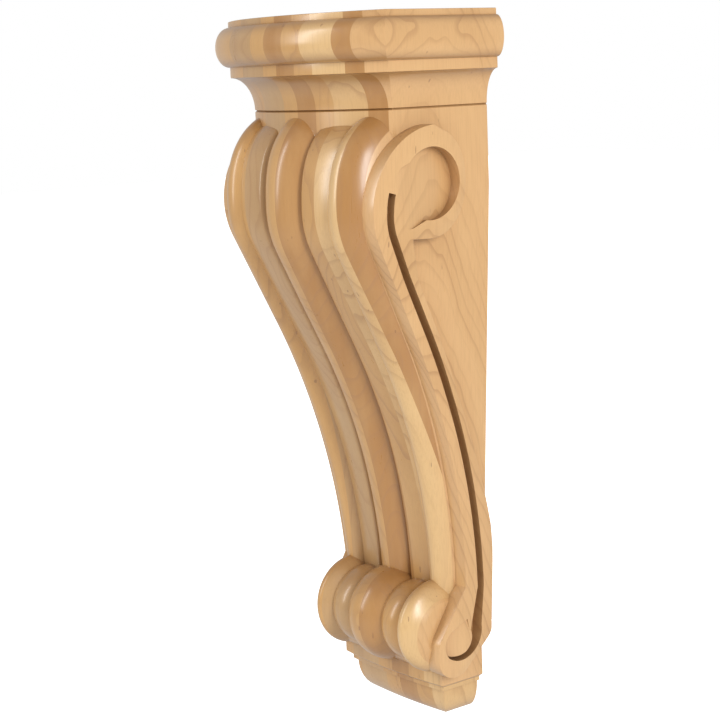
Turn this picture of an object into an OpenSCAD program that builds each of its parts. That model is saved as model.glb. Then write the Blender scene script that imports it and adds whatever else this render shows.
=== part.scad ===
// Scrolled wooden corbel bracket: a moulded cap on a tapering S-scroll body that ends in
// a roll and a small moulded foot. It hangs flat on a wall and carries a shelf.
// X is the width, Y runs from the front (negative) to the wall (Y = 0) and Z is up.
// The origin is the middle of the flat back face. Levels are counted from the shelf face
// down, so they are negative, and the whole piece is lifted by half its height at the end.

/* [Overall] */
// Height from the shelf face to the underside of the foot
height = 560; // [460:5:680]
// Half width of the neck under the cap
neck_half_w = 86.8; // [80:0.1:95]
// Depth of the neck's front corners from the wall
neck_d = 93.2; // [80:0.1:105]
// How far the middle of the front bows out beyond its corners
bow = 24; // [6:0.5:36]

/* [Cap] */
// How far the fillets stand out from the neck
fillet_out = 13.2; // [8:0.1:18]
// How far the round moulding stands out from the fillets
torus_out = 8; // [4:0.1:12]
// Height of the fillet over the round moulding
top_fillet_h = 4.8; // [2:0.1:8]
// Height of the round moulding
torus_h = 31.3; // [22:0.1:38]
// Height of the fillet under the round moulding
low_fillet_h = 8.3; // [4:0.1:12]
// Height of the hollow under that fillet
cove_h = 26.4; // [18:0.1:32]
// Depth of the V line where cap and neck meet
v_depth = 2; // [1:0.1:3]

/* [Scroll bands] */
// Half width over the scroll bands, level with the shelf face
band_half_w = 105.4; // [98:0.1:120]
// How much narrower each side gets for each millimetre down the body
side_taper = 0.061; // [0.03:0.001:0.08]
// Height of the bands above the side panels and the outer lobes
band_rise = 10.6; // [6:0.1:13]
// Distance of the upper scroll's centre from the wall
scroll_d = 60.8; // [55:0.1:70]
// Level of the upper scroll's centre under the shelf face
scroll_drop = 143.9; // [138:0.1:155]
// Radius of the front edge round the upper scroll
scroll_r = 60.9; // [55:0.1:65]
// Length of the straight stretch in the middle of the S
straight_run = 81.4; // [40:0.1:100]
// Distance of the front edge from the wall where the S ends
shaft_d = 27.7; // [24:0.1:34]
// Height over the foot's underside at which the S ends
shaft_up = 86.5; // [82:0.1:95]
// Width of the groove between the two bands
groove_w = 6.6; // [4:0.1:8]
// Depth of that groove
groove_depth = 11; // [5:0.1:14]

/* [Eyes] */
// Distance of the upper eye's centre from the wall
eye_d = 66.5; // [62:0.1:72]
// Level of the upper eye's centre under the shelf face
eye_drop = 126.7; // [122:0.1:134]
// Radius of the upper eye
eye_r = 27.2; // [22:0.1:29]
// Depth of the upper eye at its back
eye_depth = 10.6; // [5:0.1:13]
// Depth of the lower eye at its front
low_eye_depth = 7; // [4:0.1:10]

/* [Front lobes] */
// How far the middle lobe stands out from the front edge, at the scroll
mid_lobe = 21; // [16:0.5:25]
// How far the middle lobe stands out on the shaft
mid_lobe_shaft = 17; // [13:0.5:20]
// How far the beads' inner edges stand out at the scroll
bead = 12.7; // [10:0.1:15]
// How far the beads' inner edges stand out on the shaft
bead_shaft = 8.5; // [6.5:0.1:11]
// Depth of the creases inside the beads' edges
valley = 4.6; // [2:0.1:6]
// How much each bead falls towards the outer lobe
bead_fall = 2.7; // [1:0.1:4]
// Swell of the outer lobes at the scroll
side_lobe = 8.2; // [5:0.1:11]
// Swell of the outer lobes on the shaft
side_lobe_shaft = 10.5; // [6:0.1:13]
// Extra swell of all lobes over the scroll's shoulder
shoulder = 6.5; // [0:0.1:8]
// Share of the half width at which the middle lobe ends
crease_in = 0.31; // [0.24:0.01:0.38]
// Share of the half width at which the beads end
crease_out = 0.65; // [0.58:0.01:0.72]

/* [Roll] */
// Height of the roll's axis over the foot's underside
roll_up = 79; // [74:0.5:88]
// Distance of the roll's axis from the wall
roll_d = 40; // [36:0.5:44]
// Radius of the roll at its creases
roll_r = 30; // [26:0.5:33]
// How far the middle bulb stands out from the creases
mid_bulb = 9.5; // [5:0.5:11]
// How far the beads stand out from the creases
bead_bulb = 3; // [1:0.1:4]
// How far the outer bulbs stand out from the creases
side_bulb = 8.5; // [5:0.5:10]

/* [Foot] */
// Half width of the upright band of the foot
foot_half_w = 62.5; // [58:0.1:64]
// Depth of that band at its corners
foot_d = 43; // [38:0.1:46]
// How far the middle of the foot's front bows out beyond its corners
foot_bow = 4; // [1:0.1:7]
// Height of the band's lower edge over the underside
foot_band_up = 31; // [26:0.1:34]
// How far the quarter round is set in under the band
foot_step = 7; // [3:0.1:9]
// Height of the quarter round
foot_round_h = 24; // [16:0.1:25]
// How far the quarter round draws in
foot_round_in = 12.5; // [8:0.1:15]

/* [Hidden] */
$fn = 64;

cove_top = -(top_fillet_h + torus_h + low_fillet_h);
neck_top = cove_top - cove_h;
scroll_z = -scroll_drop;
shaft_z = shaft_up - height;
roll_z = roll_up - height;
eye_at = [-eye_d, -eye_drop];
past = 20;

// Half widths at a level: over the scroll bands, and over the panels between them.
function band_w(z) = band_half_w + side_taper * z;
function panel_w(z) = min(neck_half_w, band_w(z) - band_rise);

// In the side view a direction is an angle up from level, pointing to the front.
function front_dir(a) = [-cos(a), sin(a)];

// The front edge of the body in the side view: an arc round the upper scroll, a straight
// stretch, and a wide reverse arc that ends upright. The wide arc's radius follows from
// the drop and the reach between the two ends.
drop = scroll_z - shaft_z;
reach = scroll_d - shaft_d;
sweep_r = (drop * drop + reach * reach - scroll_r * scroll_r - straight_run * straight_run)
    / (2 * (scroll_r + reach));
lean = atan2(drop, sweep_r - reach) - atan2(straight_run, scroll_r + sweep_r);
scroll_c = [-scroll_d, scroll_z];
sweep_c = [-shaft_d - sweep_r, shaft_z];
arc_top = 96;
arc_steps = 13;
run_steps = 3;
sweep_steps = 9;
run_start = scroll_c + scroll_r * front_dir(-lean);
run_end = sweep_c - sweep_r * front_dir(-lean);

// Each station is a point of the front edge and the angle of its outward normal.
route = concat(
    [for (i = [0 : arc_steps]) let (a = arc_top - (arc_top + lean) * i / arc_steps)
        [scroll_c + scroll_r * front_dir(a), a]],
    [for (i = [1 : run_steps]) [run_start + (run_end - run_start) * i / run_steps, -lean]],
    [for (i = [1 : sweep_steps]) let (a = -lean * (1 - i / sweep_steps))
        [sweep_c - sweep_r * front_dir(a), a]]);
last = len(route) - 1;
function off_edge(station, out) = station[0] + out * front_dir(station[1]);

// Share of the way from the scroll's centre down to the end of the S.
function way(z) = (scroll_z - z) / drop;

// Widths along that way: over both bands, and of the front band alone.
function bands_t(z) = lookup(way(z), [[0.12, 29], [0.19, 21.5], [0.46, 20.5], [0.61, 24], [0.79, 30]]);
function front_band_t(z) = lookup(way(z), [[0, 12.6], [0.17, 9], [0.45, 9], [1, 12.5]]);

// A side-view outline of [y, z] points as a prism across the width.
module across(x0, x1) translate([x0, 0, 0]) rotate([90, 0, 90]) linear_extrude(x1 - x0) children();

// A front-view outline of [x, z] points as a prism from the wall to the front.
module from_wall(depth) rotate([90, 0, 0]) linear_extrude(depth) children();

// Mirrors one edge of [x, z] points into a full front-view outline.
module both_halves(edge)
    polygon(concat(edge, [for (i = [len(edge) - 1 : -1 : 0]) [-edge[i][0], edge[i][1]]]));

// Profile of cap and neck as [stand-out from the neck, level], from the bottom up.
torus_steps = 10;
cove_steps = 6;
cap_profile = [
    [0, scroll_z],
    [0, neck_top - v_depth], [-v_depth, neck_top], [0, neck_top + v_depth / 2],
    for (i = [1 : cove_steps]) let (a = 90 * i / cove_steps)
        [fillet_out * (1 - cos(a)), neck_top + cove_h * sin(a)],
    [fillet_out, cove_top + low_fillet_h],
    for (i = [1 : torus_steps - 1]) let (a = 180 * i / torus_steps)
        [fillet_out + torus_out * sin(a), cove_top + low_fillet_h + torus_h * (1 - cos(a)) / 2],
    [fillet_out, -top_fillet_h],
    [fillet_out, 0]];

// A block whose front is bowed: a wide turned shape, trimmed by its own side profile and
// the wall. The bow passes through the front corners at every level.
module bowed_block(profile, half_w, corner_d, bow) {
    bow_r = (half_w * half_w + bow * bow) / (2 * bow);
    bow_y = bow_r - bow - corner_d;
    n = len(profile) - 1;
    intersection() {
        translate([0, bow_y, 0]) rotate_extrude($fn = 180) polygon(concat(
            [[0, profile[n][1]], [0, profile[0][1]]],
            [for (p = profile) [norm([half_w + p[0], bow_y + corner_d + p[0]]), p[1]]]));
        from_wall(2 * corner_d) both_halves([for (p = profile) [half_w + p[0], p[1]]]);
    }
}

module cap() bowed_block(cap_profile, neck_half_w, neck_d, bow);

// The plain core between the side panels, behind the front edge.
module core() {
    first = 6;
    panel_break = (neck_half_w + band_rise - band_half_w) / side_taper;
    intersection() {
        across(-neck_half_w, neck_half_w) polygon(concat(
            [[0, route[first][0][1]]],
            [for (i = [first : last]) off_edge(route[i], -2)],
            [[-shaft_d, roll_z], [0, roll_z]]));
        from_wall(neck_d + bow) both_halves([[panel_w(0), 0], [neck_half_w, panel_break],
            [panel_w(roll_z), roll_z]]);
    }
}

// Side view of the scroll bands: the front edge up and over the upper scroll, round its
// back to the tail, and down the back edge to the wall.
ring_r = 41;
ring_flat = 7.5;
tail_r = 43.8;
tail_angle = -113;
ring_steps = 16;
function ring_back(a) = let (c = max(0, cos(a)))
    eye_at + (ring_r - ring_flat * c * c) * [cos(a), sin(a)];
band_stations = [for (s = route) if (way(s[0][1]) > 0.06 && off_edge(s, -bands_t(s[0][1]))[0] < 0) s];
module upper_bands() polygon(concat(
    [for (i = [last : -1 : 0]) if (route[i][1] < 88) route[i][0]],
    [for (i = [0 : ring_steps]) ring_back(76 - 168 * i / ring_steps)],
    [eye_at + tail_r * [cos(tail_angle), sin(tail_angle)]],
    [for (s = band_stations) off_edge(s, -bands_t(s[0][1]))],
    [[0, band_stations[len(band_stations) - 1][0][1] - 12], [0, roll_z]]));

// The lower ring is a rounded outline that rests against the wall.
module lower_ring() intersection() {
    translate([0, roll_z]) hull() {
        translate([-14, -3]) circle(14.5);
        translate([-38, -22]) circle(17.5);
        translate([-45, -3]) circle(10.5);
        translate([-31.2, 20.8]) circle(0.5);
        translate([-10, 60]) circle(1);
    }
    translate([-200, -height]) square([200, height]);
}

module scroll_bands() intersection() {
    union() {
        across(-band_half_w, band_half_w) upper_bands();
        across(-band_half_w, band_half_w) lower_ring();
    }
    from_wall(200) both_halves([[band_w(0), 0], [band_w(-height), -height]]);
}

// The channel between the bands, and the tapering hook in which it ends round the lower eye.
hook_steps = 12;
hook_c = [-33, roll_z - 5];
hook_from = 35;
hook_turn = 165;
module groove_outline() {
    run = [for (s = route) if (s[1] < 16) s];
    polygon(concat(
        [for (s = run) off_edge(s, -front_band_t(s[0][1]))],
        [for (i = [len(run) - 1 : -1 : 0]) off_edge(run[i], -front_band_t(run[i][0][1]) - groove_w)]));
    function hook(t, side) = let (a = hook_from - hook_turn * t)
        hook_c + (16 + 4 * t + side * (5.5 * (1 - t) + 0.5)) * [cos(a), sin(a)];
    polygon(concat(
        [off_edge(route[last], -front_band_t(shaft_z) - groove_w) + [0, 4]],
        [for (i = [0 : hook_steps]) hook(i / hook_steps, 1)],
        [for (i = [hook_steps : -1 : 0]) hook(i / hook_steps, -1)],
        [off_edge(route[last], -front_band_t(shaft_z)) + [0, 4]]));
}

module groove() intersection() {
    across(band_w(roll_z) - 2 * band_rise, band_half_w + past) groove_outline();
    from_wall(200) polygon([
        [band_w(0) - groove_depth, 0], [band_half_w + past, 0],
        [band_half_w + past, -height], [band_w(-height) - groove_depth, -height]]);
}

// A sunk floor that slopes from the band's face at y_shallow to its full depth at y_deep.
module sloping_floor(z, y_shallow, y_deep, depth) {
    slope = depth / (y_deep - y_shallow);
    function floor_x(y) = band_w(z) - slope * (y - y_shallow);
    y0 = y_shallow - sign(y_deep - y_shallow) * past / 4;
    y1 = y_deep + sign(y_deep - y_shallow) * past / 4;
    translate([0, 0, z - 100]) linear_extrude(200)
        polygon([[floor_x(y0), y0], [floor_x(y1), y1], [band_half_w + past, y1], [band_half_w + past, y0]]);
}

// The upper eye is a round with a lip towards the front, open to the groove below.
module upper_eye() intersection() {
    across(band_half_w / 2, band_half_w + past) translate(eye_at) union() {
        circle(eye_r);
        hull() {
            circle(eye_r - 4);
            translate([-24, 5]) circle(10);
            translate([-20, -22]) circle(10);
        }
    }
    sloping_floor(eye_at[1], -eye_d - 34.5, -eye_d + eye_r - 0.4, eye_depth);
}

module lower_eye() intersection() {
    across(band_half_w / 2, band_half_w + past) translate([-36, roll_z - 11.5]) hull() {
        circle(13.5);
        translate([9, 18]) circle(0.5);
    }
    sloping_floor(roll_z, -23.5, -50, low_eye_depth);
}

// Height of the lobes over the front edge at a share s of the half width, where the
// blend t runs from the scroll (0) to the shaft (1).
function mix(a, b, t) = a + (b - a) * t;
function crown(v) = 1 - pow(abs(v), 2.3);
foot_dip = 1.5;
function lobe(s, t) = let (a = abs(s), edge = mix(bead, bead_shaft, t))
    a < crease_in ? edge - valley + (mix(mid_lobe, mid_lobe_shaft, t) - edge + valley) * crown(a / crease_in)
    : a < crease_out ? edge - bead_fall * (a - crease_in) / (crease_out - crease_in)
    : let (v = (a - crease_out) / (1 - crease_out))
        (edge - bead_fall) * (1 - v) - foot_dip * pow(v, 6) + mix(side_lobe, side_lobe_shaft, t) * crown(2 * v - 1);
function swell(a) = a > 0 && a < 94 ? shoulder * pow(sin(a * 180 / 94), 2) : 0;
function ease(t) = (1 - cos(180 * min(1, max(0, t)))) / 2;

// Shares of the half width at which the lobes' section has its points, from right to left.
mid_steps = 6;
side_steps = 6;
half_shares = concat(
    [for (i = [0 : mid_steps]) crease_in * sin(90 * i / mid_steps) - (i == mid_steps ? 0.004 : 0)],
    [crease_in + 0.004],
    [for (i = [0 : side_steps]) mix(crease_out, 1, (1 - cos(180 * i / side_steps)) / 2)]);
shares = concat([for (i = [len(half_shares) - 1 : -1 : 1]) half_shares[i]],
                [for (s = half_shares) -s]);
lobe_back = -8;

// Faces of a closed skin over k rings of m points each.
function skin(m, k) = concat(
    [[for (i = [0 : m - 1]) i]],
    [for (j = [0 : k - 2], i = [0 : m - 1])
        let (a = j * m + i, b = j * m + (i + 1) % m) each [[a, b + m, b], [a, a + m, b + m]]],
    [[for (i = [m - 1 : -1 : 0]) (k - 1) * m + i]]);

module lobes() {
    rings = [for (s = route) let (t = ease(way(s[0][1]) * 1.5)) concat(
        [for (q = shares) let (p = off_edge(s, lobe(q, t) + swell(s[1])))
            [q * (band_w(p[1]) - band_rise), p[0], p[1]]],
        [for (q = [-1, 1]) let (p = off_edge(s, lobe_back)) [q * (band_w(p[1]) - band_rise), p[0], p[1]]])];
    polyhedron([for (r = rings) each r], skin(len(rings[0]), len(rings)), convexity = 8);
}

// The roll repeats the lobes as bulbs turned about a level axis.
roll_half_w = band_w(roll_z) - band_rise;
function roll_radius(s) = let (a = abs(s))
    a < crease_in ? roll_r + mid_bulb * crown(a / crease_in)
    : a < crease_out ? roll_r + bead_bulb * crown((2 * a - crease_in - crease_out) / (crease_out - crease_in))
    : roll_r + side_bulb * crown((2 * a - crease_out - 0.96) / (0.96 - crease_out) * (a > 0.96 ? 0.9 : 1));
bulb_steps = 5;
roll_shares = concat(
    [for (i = [0 : bulb_steps]) crease_in * sin(90 * i / bulb_steps)],
    [for (i = [1 : bulb_steps - 1]) mix(crease_in, crease_out, (1 - cos(180 * i / bulb_steps)) / 2)],
    [for (i = [0 : bulb_steps + 1]) mix(crease_out, 1, (1 - cos(180 * i / (bulb_steps + 1))) / 2)]);
all_roll_shares = concat([for (i = [len(roll_shares) - 1 : -1 : 1]) -roll_shares[i]], roll_shares);
module roll() translate([0, -roll_d, roll_z]) rotate([0, 90, 0]) rotate_extrude() polygon(concat(
    [[0, -roll_half_w]],
    [for (s = all_roll_shares) [roll_radius(s), s * roll_half_w]],
    [[0, roll_half_w]]));

// The moulded foot as [stand-out from its band, level]: quarter round, fillet and band.
foot_steps = 6;
foot_profile = [
    for (i = [0 : foot_steps]) let (a = 90 * i / foot_steps)
        [-foot_step - foot_round_in * (1 - sin(a)), foot_round_h * (1 - cos(a)) - height],
    [-foot_step * 0.6, foot_round_h + 0.5 - height],
    [-foot_step * 0.6, foot_band_up - 3 - height],
    [0, foot_band_up - height],
    [0, roll_z]];
module foot() bowed_block(foot_profile, foot_half_w, foot_d, foot_bow);

module side_cuts() {
    groove();
    upper_eye();
    lower_eye();
}

// One carved piece: the joined blocks, less the cuts of both sides. Levels count down from
// the shelf face, and the part's origin lies at mid-height on the wall face.
module corbel() color([0.86, 0.68, 0.45]) translate([0, 0, height / 2]) difference() {
    union() {
        cap();
        core();
        scroll_bands();
        lobes();
        roll();
        foot();
    }
    side_cuts();
    mirror([1, 0, 0]) side_cuts();
}
corbel();
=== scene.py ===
"""Looks of a carved wooden corbel: one block glued up from boards, with a moulded cap, a
lobed S-scroll body, a roll and a small foot. Every size is in metres unless it says so.

X is the width, Y runs from the front (negative) to the wall (Y = 0) and Z is up. Levels
are counted from the shelf face down, so they are negative.
"""
import math

import bmesh
import bpy
import numpy as np
from bpy.props import FloatProperty, FloatVectorProperty, PointerProperty
from bpy.types import Operator, Panel, PropertyGroup
from mathutils import Matrix, Quaternion, Vector


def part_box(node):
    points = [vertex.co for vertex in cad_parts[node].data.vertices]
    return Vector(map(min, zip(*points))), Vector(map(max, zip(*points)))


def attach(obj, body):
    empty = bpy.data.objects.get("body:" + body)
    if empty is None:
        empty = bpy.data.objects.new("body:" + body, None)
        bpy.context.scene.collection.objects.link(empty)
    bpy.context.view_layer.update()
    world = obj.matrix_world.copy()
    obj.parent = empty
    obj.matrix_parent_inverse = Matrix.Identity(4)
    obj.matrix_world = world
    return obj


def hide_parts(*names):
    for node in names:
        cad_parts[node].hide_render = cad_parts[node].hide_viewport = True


bl_info = {
    "name": "Scrolled wooden corbel",
    "version": (1, 0, 0),
    "blender": (4, 5, 0),
    "location": "View3D > Sidebar > Corbel",
    "description": "Builds a carved wooden corbel, its glued-up wood and a plain studio",
    "category": "Add Mesh",
}

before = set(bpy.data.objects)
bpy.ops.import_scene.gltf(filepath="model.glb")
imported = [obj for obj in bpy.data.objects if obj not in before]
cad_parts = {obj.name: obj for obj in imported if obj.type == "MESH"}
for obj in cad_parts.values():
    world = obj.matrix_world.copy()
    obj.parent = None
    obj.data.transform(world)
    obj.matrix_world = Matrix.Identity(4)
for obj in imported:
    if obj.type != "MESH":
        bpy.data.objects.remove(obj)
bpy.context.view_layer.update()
CORBEL_LOW, CORBEL_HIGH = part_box("corbel")
TOP = CORBEL_HIGH[2]
HEIGHT = CORBEL_HIGH[2] - CORBEL_LOW[2]
MM = 0.001
# Share of the half width over which each valley rises to its bead's edge.
VALLEY_SHARE = 0.05
# Depth to which the lobes reach behind the front edge, and how far the cutters stand out.
LOBES_IN = 12 * MM
CUTTER_PAST = 20 * MM
# The glue lines are given as shares of a block this wide.
BLOCK_W = 0.24
RINGS_PER_METRE = 150.0
FLOOR_DROP = 0.35
FLOOR_SPAN = 12.0


def length(name, description, millimetres):
    """A length in metres, given in millimetres."""
    return FloatProperty(name=name, description=description, default=millimetres * MM,
                         unit="LENGTH", subtype="DISTANCE", precision=4)


def share(name, description, value):
    """A plain number, such as a share or a slope."""
    return FloatProperty(name=name, description=description, default=value, precision=3)


def colour(name, description, value):
    """A colour as linear red, green and blue."""
    return FloatVectorProperty(name=name, description=description, default=value,
                               size=3, subtype="COLOR", min=0.0, max=1.0)


class CorbelSizes(PropertyGroup):
    neck_half_w: length("Neck half width", "Half width of the neck under the cap", 86.8)
    neck_d: length("Neck depth", "Distance of the neck's front corners from the wall", 93.2)
    bow: length("Bow", "How far the middle of the front bows out beyond its corners", 24.0)
    fillet_out: length("Fillet", "How far the fillets stand out from the neck", 13.2)
    torus_out: length("Round moulding", "How far it stands out from the fillets", 8.0)
    top_fillet_h: length("Top fillet height", "Height of the fillet on top", 4.8)
    torus_h: length("Round moulding height", "Height of the round moulding", 31.3)
    low_fillet_h: length("Low fillet height", "Height of the fillet under it", 8.3)
    cove_h: length("Hollow height", "Height of the hollow under the fillets", 26.4)
    v_depth: length("V line", "Depth of the V line between cap and neck", 1.1)
    band_half_w: length("Band half width", "Half width over the bands at the shelf face", 105.4)
    side_taper: share("Side taper", "How much each side draws in per unit of height", 0.061)
    band_rise: length("Band rise", "Height of the bands over the side panels", 10.6)
    scroll_d: length("Scroll depth", "Distance of the upper scroll's centre from the wall", 60.8)
    scroll_drop: length("Scroll level", "Its level under the shelf face", 143.9)
    scroll_r: length("Scroll radius", "Radius of the front edge round the scroll", 60.9)
    straight_run: length("Straight run", "Length of the straight middle of the S", 81.4)
    shaft_d: length("Shaft depth", "Distance of the front edge from the wall at its end", 27.7)
    shaft_up: length("Shaft end", "Height over the underside at which the S ends", 86.5)
    groove_w: length("Groove width", "Width of the groove between the bands", 6.6)
    groove_depth: length("Groove depth", "Depth of the groove between the bands", 11.0)
    eye_d: length("Eye depth", "Distance of the upper eye's centre from the wall", 66.5)
    eye_drop: length("Eye level", "Level of that centre under the shelf face", 126.7)
    eye_r: length("Eye radius", "Radius of the upper eye", 27.2)
    eye_sink: length("Eye sink", "Depth of the upper eye at its back", 10.6)
    low_eye_sink: length("Low eye sink", "Depth of the lower eye at its front", 7.0)
    edge_soft: length("Edge softness", "Width of the worn edges", 0.9)


class LobeSizes(PropertyGroup):
    mid_lobe: length("Middle lobe", "Its height over the front edge at the scroll", 21.0)
    mid_lobe_shaft: length("Middle lobe, shaft", "Its height on the shaft", 17.0)
    bead: length("Bead", "Height of the beads' inner edges at the scroll", 12.7)
    bead_shaft: length("Bead, shaft", "Height of those edges on the shaft", 8.5)
    valley: length("Valley", "Depth of the creases inside the beads' edges", 4.6)
    bead_fall: length("Bead fall", "How much each bead falls outwards", 2.7)
    bead_crown: length("Bead crown", "How much each bead is rounded", 1.2)
    side_lobe: length("Outer lobe", "Swell of the outer lobes at the scroll", 8.2)
    side_lobe_shaft: length("Outer lobe, shaft", "Swell of the outer lobes on the shaft", 10.5)
    foot_dip: length("Foot dip", "How far the outer lobes dip under the band's edge", 6.5)
    shoulder: length("Shoulder", "Extra swell over the scroll's shoulder", 6.5)
    crease_in: share("Inner crease", "Share of the half width where the middle lobe ends", 0.31)
    crease_out: share("Outer crease", "Share of the half width where the beads end", 0.65)
    roll_up: length("Roll level", "Height of the roll's axis over the underside", 79.0)
    roll_d: length("Roll depth", "Distance of the roll's axis from the wall", 40.0)
    roll_r: length("Roll radius", "Radius of the roll at its creases", 30.0)
    mid_bulb: length("Middle bulb", "How far it stands out from the creases", 9.5)
    bead_bulb: length("Bead of the roll", "How far it stands out from the creases", 3.0)
    side_bulb: length("Outer bulb", "How far it stands out from the creases", 8.5)
    end_fall: length("Roll end", "How far the roll rounds down at its ends", 9.0)
    foot_half_w: length("Foot half width", "Half width of the foot's band", 62.5)
    foot_d: length("Foot depth", "Depth of that band at its corners", 43.0)
    foot_bow: length("Foot bow", "How far the foot's front bows out", 4.0)


class WoodLook(PropertyGroup):
    tan: colour("Tan board", "Colour of the darker boards", (0.44, 0.215, 0.066))
    gold: colour("Golden board", "Colour of the golden boards", (0.60, 0.335, 0.118))
    cream: colour("Cream board", "Colour of the palest boards", (0.73, 0.475, 0.215))
    lilac: colour("Lilac board", "Colour of the greyish heartwood board", (0.52, 0.32, 0.145))
    peach: colour("Side board", "Colour of the boards at the sides", (0.70, 0.42, 0.19))
    line: colour("Growth line", "Colour that darkens the growth lines", (0.40, 0.20, 0.08))
    roughness: share("Roughness", "Roughness of the clear finish", 0.30)


class StudioLook(PropertyGroup):
    eye_point: FloatVectorProperty(name="Camera place", description="Where the camera stands",
                                   default=(1.09137, -0.91439, 0.23603), size=3,
                                   unit="LENGTH", subtype="TRANSLATION")
    gaze: FloatVectorProperty(name="Gaze", description="Direction in which the camera looks",
                              default=(-0.7787, 0.6065, -0.1605), size=3, subtype="DIRECTION")
    roll: FloatProperty(name="Roll", description="Turn of the camera about its own axis",
                        default=math.radians(-2.32), subtype="ANGLE", unit="ROTATION")
    lens: FloatProperty(name="Lens", description="Focal length in millimetres", default=88.3)
    fill: share("Fill", "How strongly the pale surroundings light the wood", 0.55)
    floor: colour("Floor", "Colour of the pale floor", (0.92, 0.92, 0.92))


def mix(low, high, t):
    """Straight blend from low to high."""
    return low + (high - low) * t


def ease(t):
    """Blend that starts and ends level: half a cosine wave between 0 and 1."""
    return (1.0 - np.cos(np.pi * np.clip(t, 0.0, 1.0))) / 2.0


def crown(v):
    """Rounded hump over v from -1 to 1: one minus the 2.3th power of the distance."""
    return 1.0 - np.abs(v) ** 2.3


def front_dir(angle):
    """Side-view direction at an angle up from level, pointing to the front."""
    return np.stack([-np.cos(angle), np.sin(angle)], axis=-1)


def points_between(start, end, count, closed=True):
    """Evenly spread angles in radians, between two angles in degrees."""
    return np.radians(np.linspace(start, end, count, endpoint=closed))


class Shape:
    """The corbel's curves in the side view, as [y, level] points, and its widths."""

    def __init__(self, sizes, lobes):
        self.s = s = sizes
        self.q = lobes
        self.shaft_z = s.shaft_up - HEIGHT
        self.roll_z = lobes.roll_up - HEIGHT
        # Level at which the side panels begin to draw in.
        self.bend_z = (s.neck_half_w + s.band_rise - s.band_half_w) / s.side_taper
        self.scroll_c = np.array([-s.scroll_d, -s.scroll_drop])
        self.eye = np.array([-s.eye_d, -s.eye_drop])
        self.drop = -s.scroll_drop - self.shaft_z
        reach = s.scroll_d - s.shaft_d
        r, run = s.scroll_r, s.straight_run
        self.sweep_r = (self.drop ** 2 + reach ** 2 - r * r - run * run) / (2 * (r + reach))
        self.lean = (math.atan2(self.drop, self.sweep_r - reach)
                     - math.atan2(run, r + self.sweep_r))
        self.sweep_c = np.array([-s.shaft_d - self.sweep_r, self.shaft_z])

    def band_w(self, z):
        return self.s.band_half_w + self.s.side_taper * z

    def way(self, z):
        """Share of the way from the scroll's centre down to the end of the S."""
        return (-self.s.scroll_drop - z) / self.drop

    def route(self, top_deg, arc, run, sweep):
        """The front edge: an arc round the scroll, a straight run, and a wide reverse arc
        that ends upright. Returns its points and the angles of its outward normals."""
        lean = self.lean
        arc_a = np.linspace(math.radians(top_deg), -lean, arc)
        arc_p = self.scroll_c + self.s.scroll_r * front_dir(arc_a)
        end = self.sweep_c - self.sweep_r * front_dir(-lean)
        t = np.linspace(0, 1, run + 1)[1:, None]
        run_p = arc_p[-1] + (end - arc_p[-1]) * t
        sweep_a = np.linspace(-lean, 0, sweep + 1)[1:]
        sweep_p = self.sweep_c - self.sweep_r * front_dir(sweep_a)
        angles = np.concatenate([arc_a, np.full(run, -lean), sweep_a])
        return np.concatenate([arc_p, run_p, sweep_p]), angles

    def off_route(self, points, angles, out):
        """Points moved out from the front edge along its normals."""
        return points + np.asarray(out)[..., None] * front_dir(angles)

    def bands_t(self, z):
        """Width over both bands and the groove."""
        return np.interp(self.way(z), [0.12, 0.19, 0.46, 0.61, 0.79],
                         np.array([29, 21.5, 20.5, 24, 30]) * MM)

    def front_band_t(self, z):
        """Width of the front band alone."""
        return np.interp(self.way(z), [0, 0.17, 0.45, 1], np.array([12.6, 9, 9, 12.5]) * MM)

    def lobe(self, share, t):
        """Height of the lobes over the front edge: a round middle lobe, beads that fall
        outwards from a crisp inner edge, and outer lobes that swell and then dip."""
        q = self.q
        a = np.abs(share)
        edge = mix(q.bead, q.bead_shaft, t)
        low = edge - q.valley
        valley_at = q.crease_in - VALLEY_SHARE
        middle = low + (mix(q.mid_lobe, q.mid_lobe_shaft, t) - low) * crown(a / valley_at)
        rise = low + q.valley * ease((a - valley_at) / VALLEY_SHARE)
        v = (a - q.crease_in) / (q.crease_out - q.crease_in)
        bead = edge - q.bead_fall * v + q.bead_crown * 4 * v * (1 - v)
        v = np.maximum(a - q.crease_out, 0) / (1 - q.crease_out)
        side = ((edge - q.bead_fall) * (1 - v) - q.foot_dip * v ** 5
                + mix(q.side_lobe, q.side_lobe_shaft, t) * crown(2 * v - 1))
        inner = np.where(a < valley_at, middle, rise)
        return np.where(a < q.crease_in, inner, np.where(a < q.crease_out, bead, side))

    def swell(self, angles):
        """Extra height over the scroll's shoulder: a squared sine between 0 and 94 degrees."""
        a = np.degrees(angles)
        return np.where((a > 0) & (a < 94), self.q.shoulder * np.sin(np.pi * a / 94) ** 2, 0)


def mesh_object(name, points, faces):
    """A mesh object with outward faces, out of the scene until it is linked."""
    mesh = bpy.data.meshes.new(name)
    mesh.from_pydata(points.reshape(-1, 3).tolist(), [], faces)
    shell = bmesh.new()
    shell.from_mesh(mesh)
    bmesh.ops.recalc_face_normals(shell, faces=shell.faces)
    shell.to_mesh(mesh)
    shell.free()
    made = bpy.data.objects.new(name, mesh)
    bpy.context.scene.collection.objects.link(made)
    return made


def skin(name, rings):
    """A closed skin over rings of points, an array of rings by points by three."""
    k, m = rings.shape[:2]
    index = np.arange(k * m).reshape(k, m)
    turned = np.roll(index, -1, axis=1)
    quads = np.stack([index[:-1], turned[:-1], turned[1:], index[1:]], axis=-1).reshape(-1, 4)
    faces = quads.tolist() + [index[0].tolist(), index[-1].tolist()]
    return mesh_object(name, rings, faces)


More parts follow.
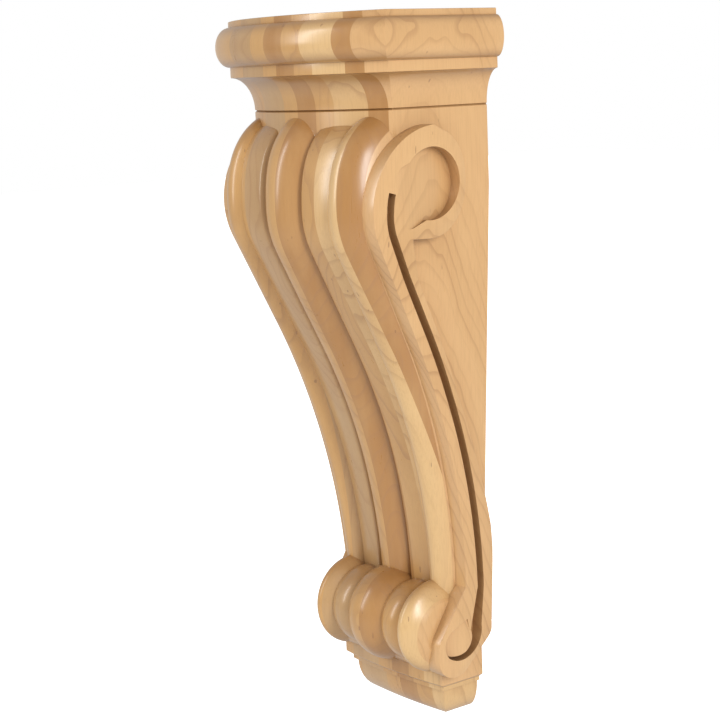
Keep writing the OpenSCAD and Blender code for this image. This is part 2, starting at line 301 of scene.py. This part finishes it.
def slab(name, outline, inner_x, outer_x):
    """A side-view outline as a block between two depths across the width."""
    y, z = outline[:, 0], outline[:, 1]
    rings = np.stack([np.stack([np.broadcast_to(x, y.shape), y, z + TOP], axis=-1)
                      for x in (inner_x, outer_x)])
    return skin(name, rings)


def bowed_block(name, profile, half_w, corner_d, bow, across=72):
    """A moulded block with a bowed front: at each level of the profile, an arc through
    the two front corners, whose radius grows with the profile's stand-out, and straight
    returns to the wall."""
    bow_r = (half_w ** 2 + bow ** 2) / (2 * bow)
    bow_y = bow_r - bow - corner_d
    out, z = profile[:, :1], profile[:, 1:]
    radius = np.hypot(half_w + out, bow_y + corner_d + out)
    x = (half_w + out) * np.linspace(-1, 1, across)
    y = bow_y - np.sqrt(radius ** 2 - x ** 2)
    back_x = np.concatenate([half_w + out, -half_w - out], axis=1)
    x = np.concatenate([x, back_x], axis=1)
    y = np.concatenate([y, np.zeros_like(back_x)], axis=1)
    return skin(name, np.stack([x, y, np.broadcast_to(z, x.shape) + TOP], axis=-1))


def rounded(corners, radius, steps=3):
    """A profile whose corners are eased: each becomes a short curve between two points
    that lie a radius away along its sides."""
    p = np.asarray(corners, float)
    before, here, after = p[:-2], p[1:-1], p[2:]
    back, ahead = before - here, after - here
    reach_back = np.minimum(radius, 0.45 * np.linalg.norm(back, axis=1))[:, None]
    reach_ahead = np.minimum(radius, 0.45 * np.linalg.norm(ahead, axis=1))[:, None]
    start = here + back / np.linalg.norm(back, axis=1)[:, None] * reach_back
    end = here + ahead / np.linalg.norm(ahead, axis=1)[:, None] * reach_ahead
    t = np.linspace(0, 1, steps)[None, :, None]
    curve = ((1 - t) ** 2 * start[:, None] + 2 * t * (1 - t) * here[:, None]
             + t ** 2 * end[:, None])
    return np.concatenate([p[:1], curve.reshape(-1, 2), p[-1:]])


def cap_piece(shape):
    """Cap and neck: fillet, round moulding, fillet, hollow, V line and plain neck."""
    s = shape.s
    cove_top = -(s.top_fillet_h + s.torus_h + s.low_fillet_h)
    neck_top = cove_top - s.cove_h
    torus_top, torus_low = -s.top_fillet_h, cove_top + s.low_fillet_h
    a = points_between(90, 0, 20)
    cove = np.stack([s.fillet_out * (1 - np.cos(a)), neck_top + s.cove_h * np.sin(a)], -1)
    b = points_between(180, 0, 34)
    torus = np.stack([s.fillet_out + s.torus_out * np.sin(b),
                      torus_low + s.torus_h * (1 - np.cos(b)) / 2], -1)
    top = rounded([[s.fillet_out - 2 * MM, 0], [s.fillet_out, 0], [s.fillet_out, torus_top]],
                  s.edge_soft)
    low = rounded([[s.fillet_out, torus_low], [s.fillet_out, cove_top], cove[1]], s.edge_soft)
    v_line = [[0, neck_top + s.v_depth / 2], [-s.v_depth, neck_top], [0, neck_top - s.v_depth]]
    profile = np.concatenate([top[:-1], torus, low[1:-1], cove[1:-1], v_line,
                              [[0, shape.bend_z]]])
    return bowed_block("cap", profile, s.neck_half_w, s.neck_d, s.bow)


def core_piece(shape):
    """The plain core between the side panels: the front edge and the wall in the side
    view, as wide as the neck and then drawn in with the taper."""
    s = shape.s
    points, angles = shape.route(40, 24, 4, 40)
    front = shape.off_route(points, angles, -2 * MM)
    outline = np.concatenate([[[0, front[0, 1]]], front,
                              [[-s.shaft_d, shape.roll_z], [0, shape.roll_z]]])
    top, low = outline[0, 1], shape.roll_z
    block = slab("core", outline, -s.neck_half_w, s.neck_half_w)
    edge = np.array([[s.neck_half_w, top + MM], [s.neck_half_w, shape.bend_z],
                     [shape.band_w(low) - s.band_rise, low - MM]])
    both = np.concatenate([edge, edge[::-1] * [-1, 1]])
    depth = np.array([-2 * s.neck_d, s.neck_d])
    rings = np.stack([np.stack([both[:, 0], np.full(len(both), y), both[:, 1] + TOP], -1)
                      for y in depth])
    wedge = skin("core_wedge", rings)
    return combine(block, "INTERSECT", [wedge])


def ring_back(shape, angles):
    """The back of the upper scroll: a circle about the eye, a little flat to the back."""
    c = np.maximum(0, np.cos(angles))[:, None]
    return shape.eye + (41 - 7.5 * c * c) * MM * np.stack([np.cos(angles), np.sin(angles)], -1)


def bands_outline(shape):
    """Side view of both bands: up the front edge, round the scroll to its tail, and down
    the back edge to the wall."""
    points, angles = shape.route(90, 60, 6, 60)
    keep = np.degrees(angles) < 88
    front = points[keep][::-1]
    ring = ring_back(shape, points_between(76, -92, 60))
    tail_a = math.radians(-113)
    tail = shape.eye + 43.8 * MM * np.array([math.cos(tail_a), math.sin(tail_a)])
    back = shape.off_route(points, angles, -shape.bands_t(points[:, 1]))
    back = back[(shape.way(points[:, 1]) > 0.115) & (back[:, 0] < 0)]
    end = [[0, back[-1, 1] - 12 * MM], [0, shape.roll_z]]
    return np.concatenate([front, ring, [tail], back, end])


def hull_of_circles(circles, count=160):
    """The convex outline round several circles: for each direction, the circle that
    reaches furthest, touched there."""
    a = points_between(0, 360, count, closed=False)
    d = np.stack([np.cos(a), np.sin(a)], -1)
    c = np.array([[y, z] for y, z, r in circles]) * MM
    r = np.array([r for y, z, r in circles]) * MM
    best = np.argmax(d @ c.T + r, axis=1)
    return c[best] + r[best, None] * d


def tapered(shape, name, outline):
    """A side-view outline across the whole width between the two leaning side faces."""
    width = shape.band_w(outline[:, 1])
    return slab(name, outline, -width, width)


def band_pieces(shape):
    """The scroll bands and the lower ring, which is a rounded outline at the wall."""
    outer = tapered(shape, "bands", bands_outline(shape))
    ring = hull_of_circles([(-14, -3, 14.5), (-38, -22, 17.5), (-42, -12, 13.5),
                            (-22, 2, 18), (-10, 60, 1)]) + [0, shape.roll_z]
    ring[:, 0] = np.minimum(ring[:, 0], 0)
    keep = np.ones(len(ring), bool)
    keep[1:] = np.linalg.norm(np.diff(ring, axis=0), axis=1) > 1e-6
    return [outer, tapered(shape, "low_ring", ring[keep])]


def lobes_piece(shape):
    """The five lobes as one skin carried down the front edge. Their shares of the width
    stay the same, so they draw in with the taper."""
    q = shape.q
    points, angles = shape.route(96, 100, 16, 110)
    t = ease(shape.way(points[:, 1]) * 1.5)[:, None]
    valley_at = q.crease_in - VALLEY_SHARE
    half = np.concatenate([valley_at * np.sin(points_between(0, 90, 22)),
                           mix(valley_at, q.crease_in, np.linspace(0, 1, 6)[1:]),
                           mix(q.crease_in, q.crease_out, np.linspace(0, 1, 15)[1:]),
                           mix(q.crease_out, 1, ease(np.linspace(0, 1, 26))[1:])])
    shares = np.concatenate([half[:0:-1], -half])
    shoulder = shape.swell(angles)[:, None] * (1 - np.abs(shares[None, :]) ** 6)
    out = shape.lobe(shares[None, :], t) + shoulder
    out = np.concatenate([out, np.full((len(out), 2), -LOBES_IN)], axis=1)
    shares = np.concatenate([shares, [-1, 1]])
    yz = points[:, None] + out[..., None] * front_dir(angles)[:, None]
    x = shares * (shape.band_w(yz[..., 1]) - shape.s.band_rise)
    return skin("lobes", np.stack([x, yz[..., 0], yz[..., 1] + TOP], -1))


def roll_piece(shape):
    """The roll: a round bulb, a bead and an outer bulb to each side, turned about a level
    axis. The ends draw in to meet the ring's wall."""
    q = shape.q
    share = np.sin(points_between(-90, 90, 150)) * 0.5 + np.linspace(-0.5, 0.5, 150)
    a = np.abs(share)
    middle = q.mid_bulb * crown(a / q.crease_in)
    bead_v = (2 * a - q.crease_in - q.crease_out) / (q.crease_out - q.crease_in)
    side_v = (a - q.crease_out) / (1 - q.crease_out)
    side = q.side_bulb * np.sin(np.pi * np.clip(side_v, 0, 1)) - q.end_fall * side_v ** 3
    bulge = np.where(a < q.crease_in, middle, np.where(
        a < q.crease_out, q.bead_bulb * crown(bead_v), side))
    radius = (q.roll_r + bulge)[:, None]
    turn = points_between(0, 360, 120, closed=False)[None, :]
    x = np.broadcast_to((share * (shape.band_w(shape.roll_z) - shape.s.band_rise))[:, None],
                        (len(share), turn.shape[1]))
    return skin("roll", np.stack([x, -q.roll_d + radius * np.cos(turn),
                                  shape.roll_z + TOP + radius * np.sin(turn)], -1))


def foot_piece(shape):
    """The foot: a plain band, a small fillet and a quarter round that draws in."""
    q = shape.q
    a = points_between(90, 0, 16)
    step, draw, round_h = 7 * MM, 12.5 * MM, 24 * MM
    quarter = np.stack([-step - draw * (1 - np.sin(a)), round_h * (1 - np.cos(a)) - HEIGHT], -1)
    band = rounded([[0, shape.roll_z], [0, 31 * MM - HEIGHT], [-4.2 * MM, 28 * MM - HEIGHT],
                    [-4.2 * MM, 24.5 * MM - HEIGHT], quarter[0]], shape.s.edge_soft * 0.6)
    profile = np.concatenate([band, quarter[1:]])
    return bowed_block("foot", profile, q.foot_half_w, q.foot_d, q.foot_bow)


def groove_cutter(shape):
    """The channel between the bands, which runs on as a tapering hook round the lower
    eye: the hook's middle line opens from one radius to a larger one as it turns."""
    s = shape.s
    points, angles = shape.route(16, 40, 8, 60)
    keep = points[:, 1] > shape.shaft_z + 20 * MM
    points, angles = points[keep], angles[keep]
    width = shape.front_band_t(points[:, 1])
    near = shape.off_route(points, angles, -width)
    far = shape.off_route(points, angles, -width - s.groove_w)
    t = np.linspace(0, 1, 48)
    a = np.radians(12 - 142 * t)
    middle = np.array([-33 * MM, shape.roll_z - 5 * MM])
    reach = (16 + 4 * t) * MM
    half = (5.3 * (1 - t) + 0.6) * MM
    ray = np.stack([np.cos(a), np.sin(a)], -1)
    inner = middle + (reach - half)[:, None] * ray
    outer = middle + (reach + half)[:, None] * ray
    outline = np.concatenate([near, inner, outer[::-1], far[::-1]])
    floor = shape.band_w(outline[:, 1]) - s.groove_depth
    return slab("groove", outline, floor, s.band_half_w + CUTTER_PAST)


def sloping_cutter(shape, name, outline, level, y_shallow, y_deep, depth):
    """A cutter whose floor slopes from the band's face at one side to full depth."""
    x = shape.band_w(level) - depth * (outline[:, 0] - y_shallow) / (y_deep - y_shallow)
    return slab(name, outline, x, shape.s.band_half_w + CUTTER_PAST)


def eye_cutters(shape):
    """Both eyes: the upper one has a lip to the front, the lower one a point upwards."""
    s = shape.s
    upper = hull_of_circles([(0, 0, s.eye_r / MM - 4), (-24, 5, 10), (-20, -22, 10)])
    lower = hull_of_circles([(0, 0, 13.5), (9, 18, 0.5)])
    lower = lower + [-36 * MM, shape.roll_z - 11.5 * MM]
    a = points_between(0, 360, 120, closed=False)
    disc = s.eye_r * np.stack([np.cos(a), np.sin(a)], -1)
    shallow, deep = -s.eye_d - 34.5 * MM, -s.eye_d + s.eye_r
    return [
        sloping_cutter(shape, "eye", disc + shape.eye, shape.eye[1], shallow, deep, s.eye_sink),
        sloping_cutter(shape, "eye_lip", upper + shape.eye, shape.eye[1], shallow, deep,
                       s.eye_sink),
        sloping_cutter(shape, "low_eye", lower, shape.roll_z, -23.5 * MM, -50 * MM,
                       s.low_eye_sink)]


def mirrored(piece):
    """A copy on the other side of the middle plane, with its faces turned back outwards."""
    mesh = piece.data
    flat = np.empty(len(mesh.vertices) * 3, np.float32)
    mesh.vertices.foreach_get("co", flat)
    faces = [list(face.vertices) for face in mesh.polygons]
    return mesh_object(piece.name + "_left", flat.reshape(-1, 3) * [-1, 1, 1], faces)


def soften(piece, width, angle=30):
    """Bevels a block's sharp edges and applies it."""
    bevel = piece.modifiers.new("soft edges", "BEVEL")
    bevel.width = width
    bevel.segments = 2
    bevel.limit_method = "ANGLE"
    bevel.angle_limit = math.radians(angle)
    bevel.use_clamp_overlap = True
    settle(piece)
    return piece


def settle(piece):
    """Applies a piece's modifiers to its mesh."""
    graph = bpy.context.evaluated_depsgraph_get()
    done = bpy.data.meshes.new_from_object(piece.evaluated_get(graph))
    piece.modifiers.clear()
    piece.data = done


def combine(piece, operation, others):
    """Joins, cuts or trims a piece by others, one exact boolean each, and removes them."""
    for other in others:
        step = piece.modifiers.new(other.name, "BOOLEAN")
        step.operation = operation
        step.solver = "MANIFOLD"
        step.object = other
        settle(piece)
        bpy.data.objects.remove(other)
    return piece


def build_corbel(shape):
    """One closed mesh of the whole carved block."""
    soft = shape.s.edge_soft
    body = cap_piece(shape)
    bands = [soften(piece, soft) for piece in band_pieces(shape)]
    body = combine(body, "UNION", [core_piece(shape), *bands, roll_piece(shape),
                                   foot_piece(shape)])
    cutters = [groove_cutter(shape), *eye_cutters(shape)]
    cutters += [mirrored(cutter) for cutter in cutters]
    body = combine(body, "DIFFERENCE", cutters)
    body = combine(body, "UNION", [lobes_piece(shape)])
    return body


class Socket:
    """A value in a material, on which plain arithmetic adds Math nodes."""

    def __init__(self, tree, output):
        self.tree = tree
        self.output = output

    def __add__(self, other):
        return self.tree.math("ADD", self, other)

    def __sub__(self, other):
        return self.tree.math("SUBTRACT", self, other)

    def __mul__(self, other):
        return self.tree.math("MULTIPLY", self, other)

    def __truediv__(self, other):
        return self.tree.math("DIVIDE", self, other)

    def __rsub__(self, other):
        return self.tree.math("SUBTRACT", other, self)

    def __pow__(self, other):
        return self.tree.math("POWER", self, other)

    __radd__ = __add__
    __rmul__ = __mul__


class Tree:
    """A material's nodes. node() adds one and returns its outputs as sockets."""

    def __init__(self, name):
        self.material = bpy.data.materials.new(name)
        self.material.use_nodes = True
        self.nodes = self.material.node_tree.nodes
        self.links = self.material.node_tree.links
        self.shader = self.nodes["Principled BSDF"]

    def node(self, kind, settings=None, inputs=None):
        made = self.nodes.new(kind)
        for key, value in (settings or {}).items():
            setattr(made, key, value)
        for key, value in (inputs or {}).items():
            self.feed(made.inputs[key], value)
        return [Socket(self, output) for output in made.outputs if output.enabled]

    def math(self, operation, *values):
        """A Math node over sockets or plain numbers."""
        return self.node("ShaderNodeMath", {"operation": operation}, dict(enumerate(values)))[0]

    def set_stops(self, ramp, stops):
        while len(ramp.elements) > 1:
            ramp.elements.remove(ramp.elements[-1])
        for i, (place, value) in enumerate(stops):
            stop = ramp.elements[0] if i == 0 else ramp.elements.new(place)
            stop.position = place
            stop.color = (*value, 1.0)

    def feed(self, socket, value):
        if isinstance(value, Socket):
            self.links.new(value.output, socket)
        else:
            socket.default_value = value

    def ramp(self, factor, stops, interpolation="LINEAR"):
        made = self.node("ShaderNodeValToRGB", {}, {0: factor})
        node = made[0].output.node
        node.color_ramp.interpolation = interpolation
        self.set_stops(node.color_ramp, stops)
        return made[0]

    def noise(self, vector, scale, detail=2.0, roughness=0.5, distortion=0.0):
        return self.node("ShaderNodeTexNoise", {}, {
            "Vector": vector, "Scale": scale, "Detail": detail, "Roughness": roughness,
            "Distortion": distortion})[0]

    def place(self, x, y, z):
        return self.node("ShaderNodeCombineXYZ", {}, {0: x, 1: y, 2: z})[0]

    def blend(self, factor, low, high, kind="MIX"):
        """A colour mix; its colour sockets are the sixth and seventh of the Mix node."""
        return self.node("ShaderNodeMix", {"data_type": "RGBA", "blend_type": kind},
                         {0: factor, 6: (*low, 1.0) if isinstance(low, tuple) else low,
                          7: (*high, 1.0) if isinstance(high, tuple) else high})[0]

    def band(self, value, low, high, to_low=0.0, to_high=1.0):
        """Maps a range smoothly onto another and holds its ends."""
        return self.node("ShaderNodeMapRange", {"interpolation_type": "SMOOTHSTEP"},
                         {0: value, 1: low, 2: high, 3: to_low, 4: to_high})[0]


def wood_material(look, taper):
    """Boards glued side by side, each with its own tint and growth rings. The rings are
    cones about a nearly upright axis, so flat faces show arches, and the lobes show
    loops. Fine fibres run up the block, and end grain is darker."""
    tree = Tree("wood")
    where = tree.node("ShaderNodeTexCoord")
    place, normal = where[3], where[1]
    x, y, z = tree.node("ShaderNodeSeparateXYZ", {}, {0: place})
    drift = tree.noise(tree.place(x * 9.0, y * 9.0, z * 3.0), 1.0, 2.0)
    board_x = x + (drift - 0.5) * 0.003
    # Glue lines at shares of the block, from left to right.
    across = board_x / BLOCK_W + 0.5
    tan, gold, cream = tuple(look.tan), tuple(look.gold), tuple(look.cream)
    lilac, peach = tuple(look.lilac), tuple(look.peach)
    tint = tree.ramp(across, [(0.0, peach), (0.12, gold), (0.29, lilac), (0.44, gold),
                              (0.512, tan), (0.60, gold), (0.675, cream), (0.79, tan),
                              (0.866, peach)], "CONSTANT")
    # Ring centres of each board: across, depth and slope, each held between 0 and 1.
    centre = tree.ramp(across, [(0.0, (0.10, 0.55, 0.70)), (0.12, (0.20, 0.10, 0.42)),
                                (0.29, (0.40, 0.80, 0.46)), (0.44, (0.46, 0.25, 0.60)),
                                (0.512, (0.54, 0.30, 0.64)), (0.60, (0.70, 0.70, 0.55)),
                                (0.675, (0.60, 0.20, 0.45)), (0.79, (0.80, 0.60, 0.55)),
                                (0.866, (0.74, 0.50, 0.83))], "CONSTANT")
    # The right-hand side is one board, whose glue line leans in with the side's taper.
    leaning = x - (z - TOP) * taper
    side = tree.math("MAXIMUM", tree.band(x, 0.0842, 0.0846),
                     tree.band(leaning, 0.0918, 0.0922))
    tint = tree.blend(side, tint, peach)
    centre = tree.blend(side, centre, (0.74, 0.50, 0.83))
    cx, cy, cs = tree.node("ShaderNodeSeparateColor", {}, {0: centre})
    warp = tree.noise(tree.place(x * 14.0, y * 14.0, z * 5.0), 1.0, 3.0, 0.55)
    dx = x - (cx - 0.5) * BLOCK_W
    dy = y + cy * 0.14
    radius = (dx * dx + dy * dy) ** 0.5
    rings = radius + z * (cs - 0.5) * 1.1 + (warp - 0.5) * 0.035
    phase = tree.math("FRACT", rings * RINGS_PER_METRE)
    late = tree.band(phase, 0.62, 0.97) * tree.band(phase, 1.0, 0.97)
    uneven = tree.noise(tree.place(rings * 40.0, y * 3.0, z * 3.0), 1.0, 2.0)
    late = late * tree.band(uneven, 0.35, 0.7)
    streak = tree.noise(tree.place(x * 55.0, y * 55.0, z * 2.5), 1.0, 3.0, 0.6)
    fibre = tree.noise(tree.place(x * 900.0, y * 900.0, z * 22.0), 1.0, 2.0, 0.6)
    pores = tree.noise(tree.place(x * 2200.0, y * 2200.0, z * 130.0), 1.0, 1.0)
    nx, ny, nz = tree.node("ShaderNodeSeparateXYZ", {}, {0: normal})
    end_grain = tree.band(tree.math("ABSOLUTE", nz), 0.25, 0.95)
    wood = tree.blend(tree.band(streak, 0.35, 0.72) * 0.2, tint, cream)
    wood = tree.blend(tree.band(uneven, 0.3, 0.75) * 0.28, wood, tan)
    wood = tree.blend(late * 0.5, wood, tuple(look.line))
    wood = tree.blend(tree.band(fibre, 0.42, 0.7) * 0.14, wood, tuple(look.line))
    wood = tree.blend(end_grain * 0.65, wood, (0.27, 0.125, 0.038))
    # Painted shade: ambient occlusion pulls the colour towards dark brown in creases, grooves
    # and recesses, where shade falls.
    crease_shade_ao = tree.node("ShaderNodeAmbientOcclusion", {"samples": 8},
                         {"Distance": 0.016})[1]
    wood = tree.blend(tree.band(crease_shade_ao, 0.8, 0.15) * 0.55, wood, (0.20, 0.08, 0.022))
    fleck = tree.noise(tree.place(x * 260.0, y * 260.0, z * 60.0), 1.0, 1.0)
    wood = tree.blend(tree.band(fleck, 0.765, 0.79) * 0.5, wood, (0.25, 0.11, 0.05))
    tree.feed(tree.shader.inputs["Base Color"], wood)
    gloss = (streak - 0.5) * 0.08 + (fibre - 0.5) * 0.10 + look.roughness
    tree.feed(tree.shader.inputs["Roughness"], gloss)
    relief = fibre * 0.6 + pores * 0.25 + late * 0.5
    bump = tree.node("ShaderNodeBump", {}, {"Strength": 0.16, "Distance": 0.0002,
                                            "Height": relief})[0]
    tree.feed(tree.shader.inputs["Normal"], bump)
    tree.shader.inputs["Coat Weight"].default_value = 0.25
    tree.shader.inputs["Coat Roughness"].default_value = 0.2
    return tree.material


class CORBEL_OT_block(Operator):
    """Build the carved block in place of the plain one."""

    bl_idname = "corbel.block"
    bl_label = "Carved block"

    def execute(self, context):
        scene = context.scene
        shape = Shape(scene.corbel_sizes, scene.corbel_lobes)
        body = build_corbel(shape)
        body.name = "carved_corbel"
        mesh = body.data
        mesh.shade_smooth()
        mesh.set_sharp_from_angle(angle=math.radians(32))
        mesh.materials.clear()
        mesh.materials.append(wood_material(scene.corbel_wood, shape.s.side_taper))
        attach(body, "root")
        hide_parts("corbel")
        return {"FINISHED"}


def soft_light(name, place, aim, width, height, power):
    """A rectangular area light that faces a point."""
    lamp = bpy.data.lights.new(name, "AREA")
    lamp.shape = "RECTANGLE"
    lamp.size = width
    lamp.size_y = height
    lamp.energy = power
    made = bpy.data.objects.new(name, lamp)
    bpy.context.scene.collection.objects.link(made)
    made.location = place
    made.rotation_euler = (Vector(aim) - Vector(place)).to_track_quat("-Z", "Y").to_euler()


class CORBEL_OT_stage(Operator):
    """Set up the pale floor, the soft lights and the camera."""

    bl_idname = "corbel.stage"
    bl_label = "Studio"

    def execute(self, context):
        scene = context.scene
        look = scene.corbel_studio
        camera = bpy.data.cameras.new("camera")
        camera.lens = look.lens
        camera.sensor_width = 36.0
        camera.clip_start = 0.05
        eye = bpy.data.objects.new("camera", camera)
        scene.collection.objects.link(eye)
        level = Vector(look.gaze).to_track_quat("-Z", "Y")
        turned = level @ Quaternion((0.0, 0.0, 1.0), look.roll)
        eye.matrix_world = Matrix.Translation(look.eye_point) @ turned.to_matrix().to_4x4()
        scene.camera = eye

        span = FLOOR_SPAN
        low = CORBEL_LOW[2] - FLOOR_DROP
        corners = np.array([[-span, -span, low], [span, -span, low], [span, span, low],
                            [-span, span, low]])
        floor = mesh_object("floor", corners, [[0, 1, 2, 3]])
        paint = Tree("floor_paint")
        paint.feed(paint.shader.inputs["Base Color"], (*look.floor, 1.0))
        paint.shader.inputs["Roughness"].default_value = 0.9
        paint.shader.inputs["Emission Color"].default_value = (1.0, 1.0, 1.0, 1.0)
        seen = paint.node("ShaderNodeLightPath")[0]
        paint.feed(paint.shader.inputs["Emission Strength"], seen * 0.9 + 0.05)
        floor.data.materials.append(paint.material)

        world = bpy.data.worlds.new("studio")
        world.use_nodes = True
        backdrop = world.node_tree.nodes["Background"]
        backdrop.inputs["Color"].default_value = (1.0, 1.0, 1.0, 1.0)
        # The backdrop looks white, but lights the wood less.
        seen = world.node_tree.nodes.new("ShaderNodeLightPath").outputs["Is Camera Ray"]
        fade = world.node_tree.nodes.new("ShaderNodeMath")
        fade.operation = "MULTIPLY_ADD"
        fade.inputs[1].default_value = 1.0 - look.fill
        fade.inputs[2].default_value = look.fill
        world.node_tree.links.new(seen, fade.inputs[0])
        world.node_tree.links.new(fade.outputs[0], backdrop.inputs["Strength"])
        scene.world = world
        aim = (0.0, -0.06, 0.0)
        soft_light("key", (-0.9, -1.9, 0.9), aim, 0.18, 1.6, 16.0)
        soft_light("side", (2.1, -0.5, 0.7), aim, 0.42, 1.1, 26.0)
        scene.view_settings.view_transform = "Standard"
        return {"FINISHED"}


class CORBEL_PT_panel(Panel):
    """Lists the corbel's builders."""

    bl_idname = "CORBEL_PT_panel"
    bl_label = "Corbel"
    bl_space_type = "VIEW_3D"
    bl_region_type = "UI"
    bl_category = "Corbel"

    def draw(self, context):
        for operator in OPERATORS:
            self.layout.operator(operator.bl_idname)


GROUPS = {"corbel_sizes": CorbelSizes, "corbel_lobes": LobeSizes,
          "corbel_wood": WoodLook, "corbel_studio": StudioLook}
OPERATORS = (CORBEL_OT_stage, CORBEL_OT_block)
CLASSES = (*GROUPS.values(), *OPERATORS, CORBEL_PT_panel)


def register():
    for cls in CLASSES:
        bpy.utils.register_class(cls)
    for name, group in GROUPS.items():
        setattr(bpy.types.Scene, name, PointerProperty(type=group))


def unregister():
    for name in GROUPS:
        delattr(bpy.types.Scene, name)
    for cls in reversed(CLASSES):
        bpy.utils.unregister_class(cls)


def main():
    register()
    bpy.ops.corbel.stage()
    bpy.ops.corbel.block()


if __name__ == "__main__":
    main()
